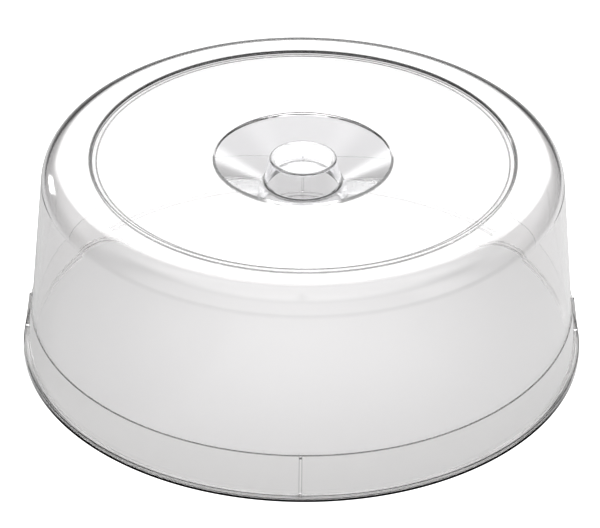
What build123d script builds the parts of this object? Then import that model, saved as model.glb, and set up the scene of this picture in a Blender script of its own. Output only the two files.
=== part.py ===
"""Clear round cover with a recessed finger grip.

Five clear mouldings bond on faces that lie level: a collar with the rim that
the cover stands on, the domed shell, a flat deck whose edge lies under the
shell's coved edge, a conical dish under the deck's centre hole, and a hollow
cup standing in the dish. Fingers reach into the dish and pinch the cup to lift the cover.

Millimetres, +Z up. The origin is at the centre of the rim's resting face.
"""

import os
from math import cos, radians, tan

from build123d import *

# Overall size
RIM_RADIUS = 150.0
TOTAL_HEIGHT = 113.4
SHEET = 2.4  # wall thickness of the mouldings
ASSEMBLY_GAP = 0.15  # radial play of a part let into a rebate

# Collar: a flared skirt with a ledge on top and a thick rim below
COLLAR_HEIGHT = 25.0
RIM_THICKNESS = 3.2
LEDGE_WIDTH = 0.6  # how far the collar stands out beyond the shell's foot
LEDGE_ROUND = 0.55
SKIRT_FOOT_RADIUS = 147.6  # where the skirt meets the rim
RIM_INNER_RADIUS = 145.4
RIM_TOP_ROUND = 1.0
RIM_FOOT_ROUND = 1.6

# Four fins on the skirt
FIN_COUNT = 4
FIN_WIDTH = 1.4
FIN_FOOT_HEIGHT = 4.0
FIN_TOP_RADIUS = 146.5
FIN_FOOT_RADIUS = 149.6

# Shell: a tapered wall, a round shoulder and a flat border
WALL_FOOT_RADIUS = 144.7
WALL_DRAFT = 5.76  # degrees from upright
SHOULDER_ROUND = 14.4
RING_RADIUS = 110.8  # edge of the step down to the deck
RING_COVE_WIDTH = 2.9  # from that edge in to the joint with the deck
RING_COVE_TOE = 0.2  # how far the step's wall leans in
RING_COVE_ROUND = 1.5
RING_LAP_HEIGHT = 110.2  # the shell's edge rests on the deck's at this level
RING_LAP_RADIUS = 111.4

# Deck
DECK_DROP = 2.0  # how far the deck lies below the border
DISH_RADIUS = 46.0  # the deck's centre hole
DISH_LAP = 1.3  # width of the dish's flange under the deck
DISH_LAP_DEPTH = 1.2  # deck thickness over the flange

# Dish and cup
DISH_FLOOR_HEIGHT = 97.2
DISH_FLOOR_RADIUS = 21.0
CUP_FOOT_RADIUS = 20.5
CUP_TOP_RADIUS = 17.4
CUP_TOP_HEIGHT = 111.0
CUP_BORE_FOOT_RADIUS = 18.1
CUP_BORE_TOP_RADIUS = 15.2
CUP_TOP_THICKNESS = 2.2
CUP_TOP_ROUND = 0.9
GATE_MARK_RADIUS = 0.8
GATE_MARK_DEPTH = 0.3

# Small rounds
EDGE_ROUND = 0.3
CORNER_ROUND = 0.5

# Levels and slopes that follow from the dimensions above
DECK_TOP = TOTAL_HEIGHT - DECK_DROP
DECK_UNDERSIDE = DECK_TOP - SHEET
BORDER_UNDERSIDE = TOTAL_HEIGHT - SHEET
DISH_TOP = DECK_TOP - DISH_LAP_DEPTH
DISH_UNDERSIDE = DISH_FLOOR_HEIGHT - SHEET
DISH_SLOPE = (DISH_TOP - DISH_FLOOR_HEIGHT) / (DISH_RADIUS - DISH_FLOOR_RADIUS)
DISH_DEPTH_OF_SHEET = SHEET * (1 + DISH_SLOPE**2) ** 0.5
DISH_FLANGE_RADIUS = DISH_RADIUS + DISH_LAP


def wall_radius(height):
    """Outer radius of the tapered wall at a height."""
    return WALL_FOOT_RADIUS - (height - COLLAR_HEIGHT) * tan(radians(WALL_DRAFT))


def wall_bore(height):
    """Inner radius of the tapered wall at a height."""
    return wall_radius(height) - SHEET / cos(radians(WALL_DRAFT))


def dish_underside(radius):
    """Height of the dish's lower conical face at a radius."""
    return DISH_TOP + (radius - DISH_RADIUS) * DISH_SLOPE - DISH_DEPTH_OF_SHEET


# Every outline is half a section: (radius, height, corner round) round the loop.
collar_outline = [
    (wall_bore(COLLAR_HEIGHT), COLLAR_HEIGHT, 0),
    (WALL_FOOT_RADIUS + LEDGE_WIDTH, COLLAR_HEIGHT, LEDGE_ROUND),
    (SKIRT_FOOT_RADIUS, RIM_THICKNESS, CORNER_ROUND),
    (RIM_RADIUS, RIM_THICKNESS, RIM_TOP_ROUND),
    (RIM_RADIUS, 0, RIM_FOOT_ROUND),
    (RIM_INNER_RADIUS, 0, CORNER_ROUND),
]

shell_outline = [
    (wall_bore(COLLAR_HEIGHT), COLLAR_HEIGHT, 0),
    (wall_radius(COLLAR_HEIGHT), COLLAR_HEIGHT, 0),
    (wall_radius(TOTAL_HEIGHT), TOTAL_HEIGHT, SHOULDER_ROUND),
    (RING_RADIUS, TOTAL_HEIGHT, EDGE_ROUND),
    (RING_RADIUS - RING_COVE_TOE, DECK_TOP, RING_COVE_ROUND),
    (RING_RADIUS - RING_COVE_WIDTH, DECK_TOP, 0),
    (RING_RADIUS - RING_COVE_WIDTH, RING_LAP_HEIGHT, 0),
    (RING_LAP_RADIUS, RING_LAP_HEIGHT, 0),
    (RING_LAP_RADIUS + CORNER_ROUND, BORDER_UNDERSIDE, CORNER_ROUND / 2),
    (wall_bore(BORDER_UNDERSIDE), BORDER_UNDERSIDE, SHOULDER_ROUND - SHEET),
]

deck_outline = [
    (RING_LAP_RADIUS, DECK_UNDERSIDE, CORNER_ROUND),
    (RING_LAP_RADIUS, RING_LAP_HEIGHT, 0),
    (RING_RADIUS - RING_COVE_WIDTH - ASSEMBLY_GAP, RING_LAP_HEIGHT, 0),
    (RING_RADIUS - RING_COVE_WIDTH - ASSEMBLY_GAP, DECK_TOP, 0),
    (DISH_RADIUS, DECK_TOP, EDGE_ROUND),
    (DISH_RADIUS, DISH_TOP, 0),
    (DISH_FLANGE_RADIUS + ASSEMBLY_GAP, DISH_TOP, 0),
    (DISH_FLANGE_RADIUS + ASSEMBLY_GAP, DECK_UNDERSIDE, 0),
]

dish_outline = [
    (CUP_BORE_FOOT_RADIUS, DISH_UNDERSIDE, EDGE_ROUND),
    (DISH_FLOOR_RADIUS + CORNER_ROUND, DISH_UNDERSIDE, 0),
    (DISH_FLANGE_RADIUS, dish_underside(DISH_FLANGE_RADIUS), 0),
    (DISH_FLANGE_RADIUS, DISH_TOP, 0),
    (DISH_RADIUS, DISH_TOP, 0),
    (DISH_FLOOR_RADIUS, DISH_FLOOR_HEIGHT, 0),
    (CUP_BORE_FOOT_RADIUS, DISH_FLOOR_HEIGHT, 0),
]

cup_outline = [
    (CUP_FOOT_RADIUS, DISH_FLOOR_HEIGHT, 0),
    (CUP_TOP_RADIUS, CUP_TOP_HEIGHT, CUP_TOP_ROUND),
    (GATE_MARK_RADIUS, CUP_TOP_HEIGHT, 0),
    (GATE_MARK_RADIUS / 2, CUP_TOP_HEIGHT - GATE_MARK_DEPTH, 0),
    (0, CUP_TOP_HEIGHT - GATE_MARK_DEPTH, 0),
    (0, CUP_TOP_HEIGHT - CUP_TOP_THICKNESS, 0),
    (CUP_BORE_TOP_RADIUS, CUP_TOP_HEIGHT - CUP_TOP_THICKNESS, CORNER_ROUND),
    (CUP_BORE_FOOT_RADIUS, DISH_FLOOR_HEIGHT, 0),
]


def points_of(outline):
    """The outline's corners, without their rounds."""
    return [(radius, height) for radius, height, _ in outline]


def rounds_of(outline):
    """The outline's corner rounds."""
    return [corner for _, _, corner in outline]


# Collar: skirt, rim and the four fins
fin_outline = [
    (WALL_FOOT_RADIUS, COLLAR_HEIGHT - LEDGE_ROUND),
    (FIN_TOP_RADIUS, COLLAR_HEIGHT - LEDGE_ROUND),
    (FIN_FOOT_RADIUS, FIN_FOOT_HEIGHT),
    (SKIRT_FOOT_RADIUS - SHEET / 2, FIN_FOOT_HEIGHT),
]

with BuildPart() as base_collar:
    with BuildSketch(Plane.XZ):
        with BuildLine():
            FilletPolyline(*points_of(collar_outline), radius=rounds_of(collar_outline), close=True)
        make_face()
    revolve(axis=Axis.Z)
    for turn in range(FIN_COUNT):
        with BuildSketch(Plane.XZ.rotated((0, 0, turn * 360 / FIN_COUNT))):
            with BuildLine():
                Polyline(*fin_outline, close=True)
            make_face()
        extrude(amount=FIN_WIDTH / 2, both=True)

base_collar.part.label = "base_collar"

# Shell: wall, shoulder, border and the coved edge that laps over the deck
with BuildPart() as dome_shell:
    with BuildSketch(Plane.XZ):
        with BuildLine():
            FilletPolyline(*points_of(shell_outline), radius=rounds_of(shell_outline), close=True)
        make_face()
    revolve(axis=Axis.Z)

dome_shell.part.label = "dome_shell"

# Deck: the flat top panel, rebated underneath for the dish
with BuildPart() as deck_panel:
    with BuildSketch(Plane.XZ):
        with BuildLine():
            FilletPolyline(*points_of(deck_outline), radius=rounds_of(deck_outline), close=True)
        make_face()
    revolve(axis=Axis.Z)

deck_panel.part.label = "deck_panel"

# Dish: the conical finger recess
with BuildPart() as grip_dish:
    with BuildSketch(Plane.XZ):
        with BuildLine():
            FilletPolyline(*points_of(dish_outline), radius=rounds_of(dish_outline), close=True)
        make_face()
    revolve(axis=Axis.Z)

grip_dish.part.label = "grip_dish"

# Cup: the hollow knob that fingers pinch, closed on top and open below
with BuildPart() as grip_cup:
    with BuildSketch(Plane.XZ):
        with BuildLine():
            FilletPolyline(*points_of(cup_outline), radius=rounds_of(cup_outline), close=True)
        make_face()
    revolve(axis=Axis.Z)

grip_cup.part.label = "grip_cup"

os.makedirs("parts", exist_ok=True)
export_step(base_collar.part, "parts/base_collar.step")
export_step(dome_shell.part, "parts/dome_shell.step")
export_step(deck_panel.part, "parts/deck_panel.step")
export_step(grip_dish.part, "parts/grip_dish.step")
export_step(grip_cup.part, "parts/grip_cup.step")
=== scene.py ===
from math import cos, pi, radians, sin, sqrt, tan

import bpy
from mathutils import Euler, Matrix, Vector


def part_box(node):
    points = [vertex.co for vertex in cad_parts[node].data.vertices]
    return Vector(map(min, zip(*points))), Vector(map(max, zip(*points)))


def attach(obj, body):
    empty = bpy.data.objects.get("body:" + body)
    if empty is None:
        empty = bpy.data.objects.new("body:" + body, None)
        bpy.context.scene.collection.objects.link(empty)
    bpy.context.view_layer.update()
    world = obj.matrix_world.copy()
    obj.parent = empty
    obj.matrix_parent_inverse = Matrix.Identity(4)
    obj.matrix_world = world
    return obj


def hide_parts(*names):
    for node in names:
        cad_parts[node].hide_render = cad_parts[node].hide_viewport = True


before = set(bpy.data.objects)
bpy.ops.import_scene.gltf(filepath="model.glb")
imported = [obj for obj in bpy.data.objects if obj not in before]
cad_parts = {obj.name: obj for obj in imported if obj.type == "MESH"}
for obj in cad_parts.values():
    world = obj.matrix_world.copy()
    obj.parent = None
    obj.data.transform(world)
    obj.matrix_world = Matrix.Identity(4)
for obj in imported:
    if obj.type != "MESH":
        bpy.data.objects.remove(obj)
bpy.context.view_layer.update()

MM = 0.001

# Levels and radii that the frame gives, in metres
_, COLLAR_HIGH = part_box("base_collar")
_, SHELL_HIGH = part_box("dome_shell")
DECK_LOW, DECK_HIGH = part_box("deck_panel")
DISH_LOW, DISH_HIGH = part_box("grip_dish")
CUP_LOW, CUP_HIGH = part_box("grip_cup")

SHEET = DECK_HIGH[2] - DECK_LOW[2]
RIM_RADIUS = COLLAR_HIGH[0]
COLLAR_TOP = COLLAR_HIGH[2]
WALL_FOOT_RADIUS = SHELL_HIGH[0]
TOP = SHELL_HIGH[2]
DECK_TOP = DECK_HIGH[2]
DECK_UNDERSIDE = DECK_LOW[2]
BORDER_UNDERSIDE = TOP - SHEET
DISH_TOP = DISH_HIGH[2]
DISH_FLANGE_RADIUS = DISH_HIGH[0]
DISH_FLOOR = CUP_LOW[2]
DISH_UNDERSIDE = DISH_LOW[2]
CUP_FOOT_RADIUS = CUP_HIGH[0]
CUP_TOP = CUP_HIGH[2]

# Sizes inside those boxes, in metres
RIM_THICKNESS = 3.2 * MM
LEDGE_WIDTH = 0.6 * MM
LEDGE_ROUND = 0.55 * MM
SKIRT_FOOT_RADIUS = 147.6 * MM
RIM_INNER_RADIUS = 145.4 * MM
RIM_TOP_ROUND = 1.0 * MM
RIM_FOOT_ROUND = 1.6 * MM
FIN_COUNT = 4
FIN_FOOT_HEIGHT = 4.0 * MM
FIN_WIDTH = 1.4 * MM
FIN_TOP_RADIUS = 146.5 * MM
FIN_FOOT_RADIUS = 149.6 * MM
WALL_DRAFT = radians(5.76)
SHOULDER_ROUND = 14.4 * MM
RING_RADIUS = 110.8 * MM
RING_COVE_WIDTH = 2.9 * MM
RING_COVE_TOE = 0.2 * MM
RING_COVE_ROUND = 1.5 * MM
RING_LAP_HEIGHT = 110.2 * MM
RING_LAP_RADIUS = 111.4 * MM
DISH_RADIUS = 46.0 * MM
DISH_FLOOR_RADIUS = 21.0 * MM
CUP_TOP_RADIUS = 17.4 * MM
CUP_BORE_FOOT_RADIUS = 18.1 * MM
CUP_BORE_TOP_RADIUS = 15.2 * MM
CUP_TOP_THICKNESS = 2.2 * MM
CUP_TOP_ROUND = 0.9 * MM
GATE_MARK_RADIUS = 0.8 * MM
GATE_MARK_DEPTH = 0.3 * MM
EDGE_ROUND = 0.3 * MM
CORNER_ROUND = 0.5 * MM

# Fineness of the lathed meshes
TURNS = 720  # facets round the axis
ARC_STEP = radians(6)  # usual turn of one facet in a rounded corner
LEAST_ARC_STEPS = 2
TINY = 1e-9  # metres; shorter lengths count as nothing
SAME_DIGITS = 9  # points are the same if they agree to this many decimals


def wall_radius(height):
    """Outer radius of the tapered wall at a height."""
    return WALL_FOOT_RADIUS - (height - COLLAR_TOP) * tan(WALL_DRAFT)


def wall_bore(height):
    """Inner radius of the tapered wall at a height."""
    return wall_radius(height) - SHEET / cos(WALL_DRAFT)


def corner(radius, height, rounded=0.0, bonded=False):
    """A corner of a half section. bonded: the edge on to the next corner is cemented to a neighbour."""
    return Vector((radius, height)), rounded, bonded


def bond(points):
    """The corners along a cemented joint. Both neighbours use the same points, in opposite order."""
    return [corner(*point, bonded=True) for point in points[:-1]] + [corner(*points[-1])]


def strokes_of(outline):
    """A half section's corners, anticlockwise, as [(point, normal, next point, next normal, bonded)].

    Straight stretches keep one normal from end to end and rounds turn theirs, so the lathed faces
    shade and refract as the true surface would.
    """
    turned = []
    for i, (here, rounded, _) in enumerate(outline):
        back = (outline[i - 1][0] - here).normalized()
        ahead = (outline[(i + 1) % len(outline)][0] - here).normalized()
        normal_in = Vector((-back.y, back.x))
        normal_out = Vector((ahead.y, -ahead.x))
        if rounded == 0:
            turned.append([(here, normal_in), (here, normal_out)])
            continue
        centre = here + (back + ahead).normalized() * rounded / sin(back.angle(ahead) / 2)
        bulge = 1 if (here - centre).dot(normal_in) > 0 else -1
        turn = normal_in.angle(normal_out)
        steps = max(LEAST_ARC_STEPS, round(turn / ARC_STEP))
        arc = []
        for step in range(steps + 1):
            share = step / steps
            normal = (normal_in * sin((1 - share) * turn) + normal_out * sin(share * turn)) / sin(turn)
            arc.append((centre + normal * bulge * rounded, normal))
        turned.append(arc)
    strokes = []
    for i, arc in enumerate(turned):
        strokes += [(p, n, q, m, False) for (p, n), (q, m) in zip(arc, arc[1:]) if (q - p).length > TINY]
        (p, n), (q, m) = arc[-1], turned[(i + 1) % len(turned)][0]
        strokes.append((p, n, q, m, outline[i][2]))
    return strokes


def lathe(strokes, fins=None):
    """(vertices, faces, bonded faces' flags, normals of the faces' corners) of strokes turned about Z.

    fins is (count, width, foot point, top point) of upright fins standing out from the stroke that
    passes the points' heights.
    """
    # A row is a point's (radius, radius on a fin, height). A column is (name, angle, on a fin).
    rows = [(p.x, p.x, p.y) for p, _, _, _, _ in strokes]
    columns = [(j, 2 * pi * j / TURNS, False) for j in range(TURNS)]
    if fins:
        count, width, foot, top = fins
        half = width / 2 / foot.x
        for i, (p, n, q, m, bonded) in enumerate(strokes):
            if p.y < foot.y and top.y < q.y:
                low, high = (p.lerp(q, (end.y - p.y) / (q.y - p.y)) for end in (foot, top))
                strokes = strokes[:i] + [
                    (p, n, low, n, bonded), (low, n, low, n, bonded), (low, n, high, n, bonded),
                    (high, n, high, n, bonded), (high, n, q, m, bonded),
                ] + strokes[i + 1:]
                rows = rows[:i + 1] + [
                    (low.x, low.x, low.y), (low.x, foot.x, low.y),
                    (high.x, top.x, high.y), (high.x, high.x, high.y),
                ] + rows[i + 1:]
                break
        apart = 2 * pi / TURNS
        for turn in range(count):
            middle = 2 * pi * turn / count
            columns = [c for c in columns if abs((c[1] - middle + pi) % (2 * pi) - pi) > apart / 2]
            for side, lifted in ((-1, False), (-1, True), (1, True), (1, False)):
                columns.append(((turn, side), (middle + side * half) % (2 * pi), lifted))
        columns.sort(key=lambda column: column[1])
    vertices, index = [], {}

    def vertex(row, column):
        radius, lifted_radius, height = rows[row]
        name, angle, lifted = columns[column]
        r = lifted_radius if lifted else radius
        key = (round(r, SAME_DIGITS), round(height, SAME_DIGITS), name if r > TINY else None)
        if key not in index:
            index[key] = len(vertices)
            vertices.append((r * cos(angle), r * sin(angle), height))
        return index[key]

    faces, flags, normals = [], [], []
    for i, (_, n, _, m, bonded) in enumerate(strokes):
        for j in range(len(columns)):
            corners = [(i, j, n), (i, (j + 1) % len(columns), n)]
            corners += [((i + 1) % len(rows), (j + 1) % len(columns), m), ((i + 1) % len(rows), j, m)]
            named = [(vertex(row, column), normal, column) for row, column, normal in corners]
            face = [c for k, c in enumerate(named) if c[0] != named[k - 1][0]]
            if len({c[0] for c in face}) < 3:
                continue
            faces.append([c[0] for c in face])
            flags.append(bonded)
            on_fin = any(rows[row][0] != rows[row][1] and columns[column][2] for row, column, _ in corners)
            if on_fin:
                a, b, c = (Vector(vertices[f[0]]) for f in face[:3])
                flat = (b - a).cross(c - b).normalized()
                normals += [tuple(flat)] * len(face)
            else:
                for _, normal, column in face:
                    angle = columns[column][1]
                    normals.append((normal.x * cos(angle), normal.x * sin(angle), normal.y))
    return vertices, faces, flags, normals


def piece(name, node, lathed, material):
    """One visible moulding. It stands for a CAD node."""
    vertices, faces, flags, normals = lathed
    mesh = bpy.data.meshes.new(name)
    mesh.from_pydata(vertices, [], faces)
    mesh.shade_smooth()
    mesh.materials.append(material)
    mesh.materials.append(CEMENT)
    mesh.polygons.foreach_set("material_index", [int(flag) for flag in flags])
    mesh.normals_split_custom_set(normals)
    made = bpy.data.objects.new(name, mesh)
    bpy.context.scene.collection.objects.link(made)
    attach(made, "root")
    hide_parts(node)
    return made


# Node helpers

def math_node(tree, operation, a, b=0.0, c=0.0):
    """A Math node with its inputs linked or set, and its output."""
    node = tree.nodes.new("ShaderNodeMath")
    node.operation = operation
    for socket, value in zip(node.inputs, (a, b, c)):
        if isinstance(value, (int, float)):
            socket.default_value = value
        else:
            tree.links.new(value, socket)
    return node.outputs[0]


def ramp(tree, value, low, high):
    """0 below low, 1 above high, smooth between them."""
    node = tree.nodes.new("ShaderNodeMapRange")
    node.interpolation_type = "SMOOTHSTEP"
    node.inputs["From Min"].default_value = low
    node.inputs["From Max"].default_value = high
    tree.links.new(value, node.inputs["Value"])
    return node.outputs["Result"]


def window(tree, value, low, high, soft):
    """1 between low and high, fading to 0 over soft on both sides."""
    rise = ramp(tree, value, low - soft / 2, low + soft / 2)
    fall = ramp(tree, value, high - soft / 2, high + soft / 2)
    return math_node(tree, "SUBTRACT", rise, fall)


def split_place(tree, place):
    """X, Y and Z of a point."""
    split = tree.nodes.new("ShaderNodeSeparateXYZ")
    tree.links.new(place, split.inputs[0])
    return [split.outputs[axis] for axis in "XYZ"]


def span(tree, a, b):
    """Length of the vector (a, b)."""
    b_squared = math_node(tree, "MULTIPLY", b, b)
    return math_node(tree, "SQRT", math_node(tree, "MULTIPLY_ADD", a, a, b_squared))


def from_rim(tree, place, radius, height):
    """How far a point is from a circle round the axis."""
    x, y, z = split_place(tree, place)
    outward = math_node(tree, "SUBTRACT", span(tree, x, y), radius)
    return span(tree, outward, math_node(tree, "SUBTRACT", z, height))


def from_fin_sides(tree, place):
    """How far a point is from the planes that the fins' sides lie in."""
    x, y, _ = split_place(tree, place)
    nearer = math_node(tree, "MINIMUM", math_node(tree, "ABSOLUTE", x), math_node(tree, "ABSOLUTE", y))
    return math_node(tree, "ABSOLUTE", math_node(tree, "SUBTRACT", nearer, FIN_WIDTH / 2))


# Materials

PLASTIC_IOR = 1.57
POLISH = (0.0, 0.015)  # roughness of the sheet's clearest and cloudiest spots
CLOUD_SCALE = 18.0  # per metre, as the next scale
CLOUD_DETAIL = 3.0
WAVE_SCALE = 55.0
WAVE_DETAIL = 1.0
WAVE_HEIGHT = 0.00002  # height of the sheet's moulded waviness, in metres
WAVE = 0.5  # its strength in the sheet, and in the grip
GRIP_WAVE = 0.4


def clear_plastic(name, pale, deep, wave, painted_shade_rims, fin_side_painted_shade=None):
    """Polished clear plastic, with a slight cloudiness of tint and a faint moulded waviness.

    rims are (radius, height, reach, depth) of circles where the sheet ends or turns. They look dark,
    since light from behind them runs along inside the sheet; here that dark is painted shade in the
    colour. fin_side_painted_shade is the (reach, depth) of the same painted shade along the fins' sides.
    """
    material = bpy.data.materials.new(name)
    material.use_nodes = True
    tree = material.node_tree
    nodes, links = tree.nodes, tree.links
    shader = nodes["Principled BSDF"]
    shader.inputs["Transmission Weight"].default_value = 1.0
    shader.inputs["IOR"].default_value = PLASTIC_IOR
    place = nodes.new("ShaderNodeTexCoord").outputs["Object"]

    cloud = nodes.new("ShaderNodeTexNoise")
    cloud.inputs["Scale"].default_value = CLOUD_SCALE
    cloud.inputs["Detail"].default_value = CLOUD_DETAIL
    links.new(place, cloud.inputs["Vector"])
    tint = nodes.new("ShaderNodeMix")
    tint.data_type = "RGBA"
    tint.inputs["A"].default_value = (*pale, 1)
    tint.inputs["B"].default_value = (*deep, 1)
    links.new(cloud.outputs["Fac"], tint.inputs["Factor"])
    colour = tint.outputs["Result"]
    lines = [(from_rim(tree, place, *rim[:2]), *rim[2:]) for rim in painted_shade_rims]
    if fin_side_painted_shade:
        lines.append((from_fin_sides(tree, place), *fin_side_painted_shade))
    # Painted shade: darken the colour in a thin band round each rim and along the fins' sides
    for distance, reach, depth in lines:
        away = ramp(tree, distance, reach / 2, reach)
        left = math_node(tree, "MULTIPLY_ADD", away, depth, 1 - depth)
        darker = nodes.new("ShaderNodeVectorMath")
        darker.operation = "SCALE"
        links.new(colour, darker.inputs[0])
        links.new(left, darker.inputs["Scale"])
        colour = darker.outputs[0]
    links.new(colour, shader.inputs["Base Color"])

    polish = nodes.new("ShaderNodeMapRange")
    polish.inputs["To Min"].default_value = POLISH[0]
    polish.inputs["To Max"].default_value = POLISH[1]
    links.new(cloud.outputs["Fac"], polish.inputs["Value"])
    links.new(polish.outputs["Result"], shader.inputs["Roughness"])

    ripple = nodes.new("ShaderNodeTexNoise")
    ripple.inputs["Scale"].default_value = WAVE_SCALE
    ripple.inputs["Detail"].default_value = WAVE_DETAIL
    links.new(place, ripple.inputs["Vector"])
    bump = nodes.new("ShaderNodeBump")
    bump.inputs["Strength"].default_value = wave
    bump.inputs["Distance"].default_value = WAVE_HEIGHT
    links.new(ripple.outputs["Fac"], bump.inputs["Height"])
    links.new(bump.outputs["Normal"], shader.inputs["Normal"])
    return material


def clear_cement():
    """The bonded faces, where clear cement as dense as the plastic leaves nothing to see."""
    material = bpy.data.materials.new("clear_cement")
    material.use_nodes = True
    nodes, links = material.node_tree.nodes, material.node_tree.links
    nodes.remove(nodes["Principled BSDF"])
    through = nodes.new("ShaderNodeBsdfTransparent")
    links.new(through.outputs["BSDF"], nodes["Material Output"].inputs["Surface"])
    return material


CEMENT = clear_cement()
# Painted shade: each plastic's colour is darkened in thin bands where its sheet ends or turns, at the seam
# where the shell laps the deck, and on the collar along its fins' sides
SEAM_PAINTED_SHADE = (RING_RADIUS - RING_COVE_WIDTH, DECK_TOP, 0.6 * MM, 0.95)
SHELL_PLASTIC = clear_plastic(
    "shell_plastic", (0.97, 0.962, 0.964), (0.945, 0.935, 0.938), WAVE,
    painted_shade_rims=((RING_RADIUS, TOP, 1.2 * MM, 0.99), SEAM_PAINTED_SHADE),
)
DECK_PLASTIC = clear_plastic(
    "deck_plastic", (0.985, 0.983, 0.985), (0.965, 0.962, 0.965), WAVE,
    painted_shade_rims=((DISH_RADIUS, DECK_TOP, 0.7 * MM, 0.5), SEAM_PAINTED_SHADE),
)
COLLAR_PLASTIC = clear_plastic(
    "collar_plastic", (0.93, 0.922, 0.92), (0.90, 0.892, 0.89), WAVE,
    painted_shade_rims=(
        (WALL_FOOT_RADIUS + LEDGE_WIDTH / 2, COLLAR_TOP, 0.8 * MM, 0.9),
        (FIN_TOP_RADIUS, COLLAR_TOP - LEDGE_ROUND, 1.0 * MM, 0.97),
        (FIN_FOOT_RADIUS, FIN_FOOT_HEIGHT, 0.6 * MM, 0.9),
        (RIM_RADIUS, 0, 1.2 * MM, 0.75),
    ),
    fin_side_painted_shade=(0.25 * MM, 0.35),
)
GRIP_PLASTIC = clear_plastic(
    "grip_plastic", (0.985, 0.985, 0.998), (0.965, 0.965, 0.98), GRIP_WAVE,
    painted_shade_rims=((CUP_FOOT_RADIUS, DISH_FLOOR, 0.9 * MM, 0.97), (CUP_TOP_RADIUS, CUP_TOP, 1.3 * MM, 0.8)),
)


# Cemented joints, each as a line of (radius, height) points in the half section

STEP_JOINT = [(wall_bore(COLLAR_TOP), COLLAR_TOP), (WALL_FOOT_RADIUS, COLLAR_TOP)]
RING_JOINT = [
    (RING_RADIUS - RING_COVE_WIDTH, DECK_TOP),
    (RING_RADIUS - RING_COVE_WIDTH, RING_LAP_HEIGHT),
    (RING_LAP_RADIUS, RING_LAP_HEIGHT),
]
DISH_JOINT = [(DISH_RADIUS, DISH_TOP), (DISH_FLANGE_RADIUS, DISH_TOP), (DISH_FLANGE_RADIUS, DECK_UNDERSIDE)]
CUP_JOINT = [(CUP_BORE_FOOT_RADIUS, DISH_FLOOR), (CUP_FOOT_RADIUS, DISH_FLOOR)]


# The five mouldings

def build_collar():
    """Skirt, rim and fins."""
    outline = [
        corner(RIM_INNER_RADIUS, 0, CORNER_ROUND),
        corner(RIM_RADIUS, 0, RIM_FOOT_ROUND),
        corner(RIM_RADIUS, RIM_THICKNESS, RIM_TOP_ROUND),
        corner(SKIRT_FOOT_RADIUS, RIM_THICKNESS, CORNER_ROUND),
        corner(WALL_FOOT_RADIUS + LEDGE_WIDTH, COLLAR_TOP, LEDGE_ROUND),
        *bond(STEP_JOINT[::-1]),
    ]
    foot = Vector((FIN_FOOT_RADIUS, FIN_FOOT_HEIGHT))
    top = Vector((FIN_TOP_RADIUS, COLLAR_TOP - LEDGE_ROUND))
    solid = lathe(strokes_of(outline), fins=(FIN_COUNT, FIN_WIDTH, foot, top))
    return piece("collar_moulding", "base_collar", solid, COLLAR_PLASTIC)


def build_shell():
    """Tapered wall, shoulder, border and the coved edge that laps over the deck."""
    outline = [
        *bond(STEP_JOINT),
        corner(wall_radius(TOP), TOP, SHOULDER_ROUND),
        corner(RING_RADIUS, TOP, EDGE_ROUND),
        corner(RING_RADIUS - RING_COVE_TOE, DECK_TOP, RING_COVE_ROUND),
        *bond(RING_JOINT),
        corner(RING_LAP_RADIUS + CORNER_ROUND, BORDER_UNDERSIDE, CORNER_ROUND / 2),
        corner(wall_bore(BORDER_UNDERSIDE), BORDER_UNDERSIDE, SHOULDER_ROUND - SHEET),
    ]
    return piece("shell_moulding", "dome_shell", lathe(strokes_of(outline)), SHELL_PLASTIC)


def build_deck():
    """Flat top panel with the dish's hole in its middle."""
    outline = [
        corner(RING_LAP_RADIUS, DECK_UNDERSIDE, CORNER_ROUND),
        *bond(RING_JOINT[::-1]),
        corner(DISH_RADIUS, DECK_TOP, EDGE_ROUND),
        *bond(DISH_JOINT),
    ]
    return piece("deck_moulding", "deck_panel", lathe(strokes_of(outline)), DECK_PLASTIC)


def build_dish():
    """Conical finger recess with its flange under the deck."""
    slope = (DISH_TOP - DISH_FLOOR) / (DISH_RADIUS - DISH_FLOOR_RADIUS)
    flange_foot = DISH_TOP + (DISH_FLANGE_RADIUS - DISH_RADIUS) * slope - SHEET * sqrt(1 + slope**2)
    outline = [
        corner(CUP_BORE_FOOT_RADIUS, DISH_UNDERSIDE, EDGE_ROUND),
        corner(DISH_FLOOR_RADIUS + CORNER_ROUND, DISH_UNDERSIDE),
        corner(DISH_FLANGE_RADIUS, flange_foot),
        *bond(DISH_JOINT[::-1]),
        corner(DISH_FLOOR_RADIUS, DISH_FLOOR),
        *bond(CUP_JOINT[::-1]),
    ]
    return piece("dish_moulding", "grip_dish", lathe(strokes_of(outline)), GRIP_PLASTIC)


def build_cup():
    """Hollow cup, closed on top, with the gate's small mark in its centre."""
    outline = [
        *bond(CUP_JOINT),
        corner(CUP_TOP_RADIUS, CUP_TOP, CUP_TOP_ROUND),
        corner(GATE_MARK_RADIUS, CUP_TOP),
        corner(GATE_MARK_RADIUS / 2, CUP_TOP - GATE_MARK_DEPTH),
        corner(0, CUP_TOP - GATE_MARK_DEPTH),
        corner(0, CUP_TOP - CUP_TOP_THICKNESS),
        corner(CUP_BORE_TOP_RADIUS, CUP_TOP - CUP_TOP_THICKNESS, CORNER_ROUND),
    ]
    return piece("cup_moulding", "grip_cup", lathe(strokes_of(outline)), GRIP_PLASTIC)


build_collar()
build_shell()
build_deck()
build_dish()
build_cup()


# Studio

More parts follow.
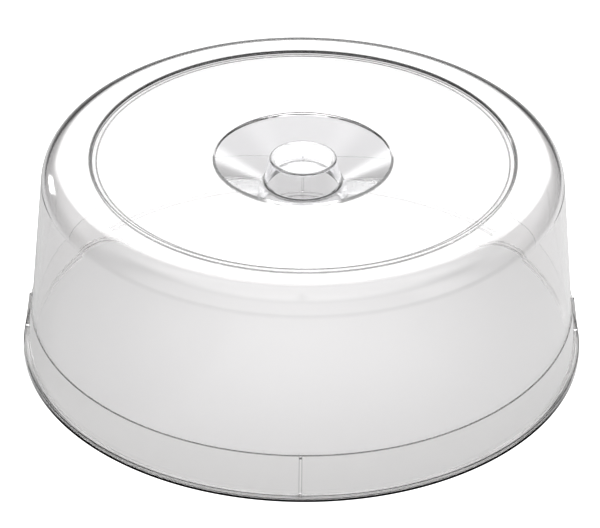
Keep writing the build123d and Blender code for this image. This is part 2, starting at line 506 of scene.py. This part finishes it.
# The floor, in metres from its middle. Its glow is in shares of white.
FLOOR_HALF = 8.0
FLOOR_GAP = 0.0001
FLOOR_PAINT = 0.6  # how much light the floor throws back, as a share of its glow
FLOOR_WHITE = 1.0  # extra glow where the camera sees the floor directly, which leaves it plain white
# Painted light and shade in the floor's glow: a little brighter under the middle of the cover, painted
# shade towards the cover's wall, and a painted pool of light that fades far out and to the left
GLOW_OUTSIDE = 0.48
GLOW_UNDER_MIDDLE = 0.63
GLOW_UNDER_WALL = 0.52
POOL_EDGE = 0.41  # the lit pool fades by this share between these two radii
POOL_END = 0.53
POOL_FADE = 0.85
LEFT_EDGE = 0.125  # it also fades by this share between these two distances to the left
LEFT_END = 0.16
LEFT_FADE = 0.18
CONTACT_INNER = SKIRT_FOOT_RADIUS + 0.2 * MM  # the contact shadow under the rim's foot
CONTACT_OUTER = RIM_RADIUS + 0.4 * MM
CONTACT_SOFT = 0.4 * MM
CONTACT_BACK = 0.45  # its darkness at the back and the sides, as the light comes from behind
CONTACT_FRONT = 0.09  # distance to the front at which it is black


def plain_floor():
    """A large pale floor that glows like a light table, just under the rim, with painted light and shade.
    """
    mesh = bpy.data.meshes.new("floor")
    signs = ((-1, -1), (1, -1), (1, 1), (-1, 1))
    corners = [(x * FLOOR_HALF, y * FLOOR_HALF, -FLOOR_GAP) for x, y in signs]
    mesh.from_pydata(corners, [], [(0, 1, 2, 3)])
    material = bpy.data.materials.new("floor_paint")
    material.use_nodes = True
    tree = material.node_tree
    shader = tree.nodes["Principled BSDF"]
    shader.inputs["Roughness"].default_value = 1.0
    shader.inputs["Specular IOR Level"].default_value = 0.0
    shader.inputs["Emission Color"].default_value = (1, 1, 1, 1)
    place = tree.nodes.new("ShaderNodeTexCoord").outputs["Object"]
    x, y, _ = split_place(tree, place)
    from_axis = span(tree, x, y)
    # Painted shade: the glow under the cover drops from its middle towards its wall
    to_wall = ramp(tree, from_axis, 0, RIM_INNER_RADIUS)
    painted_wall_shade = math_node(tree, "MULTIPLY", to_wall, GLOW_UNDER_MIDDLE - GLOW_UNDER_WALL)
    under = math_node(tree, "SUBTRACT", GLOW_UNDER_MIDDLE, painted_wall_shade)
    outside = ramp(tree, from_axis, RIM_INNER_RADIUS, RIM_RADIUS)
    change = math_node(tree, "MULTIPLY", outside, math_node(tree, "SUBTRACT", GLOW_OUTSIDE, under))
    # Painted pool of light: the glow fades far from the cover and to the left
    far = ramp(tree, from_axis, POOL_EDGE, POOL_END)
    left = ramp(tree, math_node(tree, "MULTIPLY", x, -1.0), LEFT_EDGE, LEFT_END)
    kept_far = math_node(tree, "MULTIPLY_ADD", far, -POOL_FADE, 1.0)
    kept_left = math_node(tree, "MULTIPLY_ADD", left, -LEFT_FADE, 1.0)
    painted_light_pool = math_node(tree, "MULTIPLY", kept_far, kept_left)
    glow = math_node(tree, "MULTIPLY", math_node(tree, "ADD", under, change), painted_light_pool)

    # Painted contact shadow: a dark ring drawn on the floor under the rim's foot, black at the front and
    # weaker at the back and sides
    ahead = ramp(tree, math_node(tree, "MULTIPLY", y, -1.0), 0, CONTACT_FRONT)
    darkness = math_node(tree, "MULTIPLY_ADD", ahead, 1 - CONTACT_BACK, CONTACT_BACK)
    painted_contact_shadow_ring = window(tree, from_axis, CONTACT_INNER, CONTACT_OUTER, CONTACT_SOFT)
    clear = math_node(tree, "SUBTRACT", 1.0, math_node(tree, "MULTIPLY", painted_contact_shadow_ring, darkness))

    path = tree.nodes.new("ShaderNodeLightPath")
    seen = math_node(tree, "MULTIPLY", path.outputs["Is Camera Ray"], FLOOR_WHITE)
    shine = math_node(tree, "MULTIPLY", math_node(tree, "ADD", seen, glow), clear)
    tree.links.new(shine, shader.inputs["Emission Strength"])
    # The floor's colour takes the same painted light and shade, and the painted contact shadow
    paint = math_node(tree, "MULTIPLY", glow, FLOOR_PAINT)
    tree.links.new(math_node(tree, "MULTIPLY", paint, clear), shader.inputs["Base Color"])
    mesh.materials.append(material)
    floor = bpy.data.objects.new("floor", mesh)
    bpy.context.scene.collection.objects.link(floor)


# Light panels round the object. In degrees: middle azimuth from straight behind (positive to the
# right), half width, lowest and highest elevation and softness of the edges. Then strength.
BACKDROP = (0, 33, 16.5, 46, 9, 2.2)
HALO = (0, 80, 18, 62, 30, 1.0)
RIGHT_BOX = (100, 30, -20, 40, 16, 0.5)
LEFT_LAMP = (-43, 4, 1, 13, 3, 7.0)
FRONT_SWEEP = (180, 75, -20, 50, 24, 0.8)
CEILING = (0, 180, 56, 95, 20, 1.5)
ROOM_LIGHT = 0.04


def studio_world():
    """A dim room with light panels."""
    world = bpy.data.worlds.new("studio")
    bpy.context.scene.world = world
    world.use_nodes = True
    tree = world.node_tree
    direction = tree.nodes.new("ShaderNodeTexCoord")
    x, y, z = split_place(tree, direction.outputs["Generated"])
    elevation = math_node(tree, "ARCSINE", z)
    azimuth = math_node(tree, "ARCTAN2", x, y)
    total = ROOM_LIGHT
    for *degrees, strength in (BACKDROP, HALO, RIGHT_BOX, LEFT_LAMP, FRONT_SWEEP, CEILING):
        middle, half_width, lowest, highest, soft = map(radians, degrees)
        turned = math_node(tree, "WRAP", math_node(tree, "SUBTRACT", azimuth, middle), pi, -pi)
        away = math_node(tree, "ABSOLUTE", turned)
        beside = ramp(tree, away, half_width - soft / 2, half_width + soft / 2)
        across = math_node(tree, "SUBTRACT", 1.0, beside)
        up = window(tree, elevation, lowest, highest, soft)
        shape = math_node(tree, "MULTIPLY", across, up)
        total = math_node(tree, "MULTIPLY_ADD", shape, strength, total)
    tree.links.new(total, tree.nodes["Background"].inputs["Strength"])
    tree.nodes["Background"].inputs["Color"].default_value = (1, 1, 1, 1)


CAMERA_ELEVATION = radians(32.88)
CAMERA_ROLL = radians(0.507)
CAMERA_DISTANCE = 1.6105
CAMERA_AIM = Vector((-0.00115, 0, 0.0446))
LENS = 180.9  # millimetres, as the sensor
SENSOR = 36.0
VIEW_END = 50.0


def photo_camera():
    """A long lens from the front, looking down on the cover."""
    data = bpy.data.cameras.new("camera")
    data.lens = LENS
    data.sensor_width = SENSOR
    data.clip_end = VIEW_END
    camera = bpy.data.objects.new("camera", data)
    bpy.context.scene.collection.objects.link(camera)
    outward = Vector((0, -cos(CAMERA_ELEVATION), sin(CAMERA_ELEVATION)))
    camera.location = CAMERA_AIM + CAMERA_DISTANCE * outward
    tilt = Euler((pi / 2 - CAMERA_ELEVATION, 0, 0)).to_matrix()
    camera.rotation_euler = (tilt @ Euler((0, 0, CAMERA_ROLL)).to_matrix()).to_euler()
    bpy.context.scene.camera = camera


plain_floor()
studio_world()
photo_camera()

# Enough bounces for light to pass through every sheet of clear plastic
SHEET_BOUNCES = 32
GLOSSY_BOUNCES = 12
DIFFUSE_BOUNCES = 4
scene = bpy.context.scene
scene.view_settings.view_transform = "Standard"
scene.cycles.max_bounces = SHEET_BOUNCES
scene.cycles.transmission_bounces = SHEET_BOUNCES
scene.cycles.glossy_bounces = GLOSSY_BOUNCES
scene.cycles.diffuse_bounces = DIFFUSE_BOUNCES
